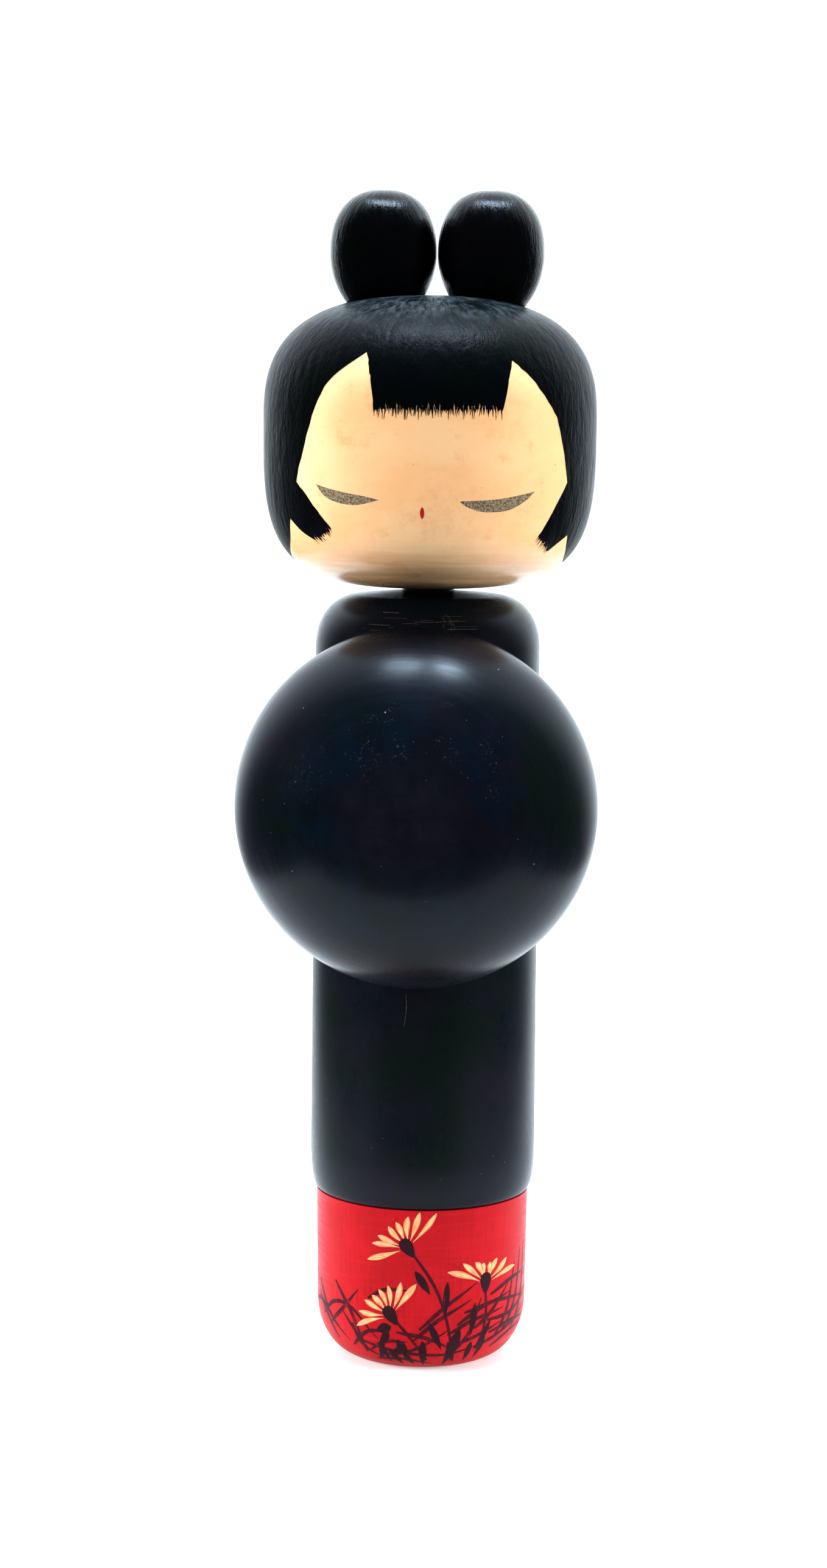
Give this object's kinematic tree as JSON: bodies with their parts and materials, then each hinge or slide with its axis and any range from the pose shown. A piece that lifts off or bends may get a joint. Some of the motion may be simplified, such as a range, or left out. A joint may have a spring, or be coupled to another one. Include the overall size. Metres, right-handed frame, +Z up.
{
  "type": "kokeshi doll",
  "caption": "Turned wooden doll with a ball head and hair buns that turn on a neck dowel, a black trunk with a front dome, and a red foot to stand on.",
  "frame": {"origin": "middle of the flat under the foot, on the trunk's axis", "axes": "+Z up along the trunk's axis; the doll faces -Y; its left side is +X"},
  "size_m": [0.0904, 0.1063, 0.3],
  "materials": {
    "black_lacquer": "glossy black lacquer on turned wood",
    "red_stain": "satin red stain with the grain showing through",
    "face_wood": "varnished pale wood",
    "raw_wood": "unfinished wood"
  },
  "bodies": {
    "body": {"foot": "red_stain", "trunk": "black_lacquer", "front_dome": "black_lacquer", "dome_dowel": "raw_wood", "neck_dowel": "black_lacquer"},
    "head": {"head": "face_wood", "bun_left": "black_lacquer", "bun_right": "black_lacquer", "bun_dowel_left": "raw_wood", "bun_dowel_right": "raw_wood"}
  },
  "joints": [
    {"name": "head_turn", "type": "hinge", "parent": "body", "child": "head", "pos_m": [0, 0, 0.2], "axis": [0, 0, 1], "continuous": true}
  ]
}
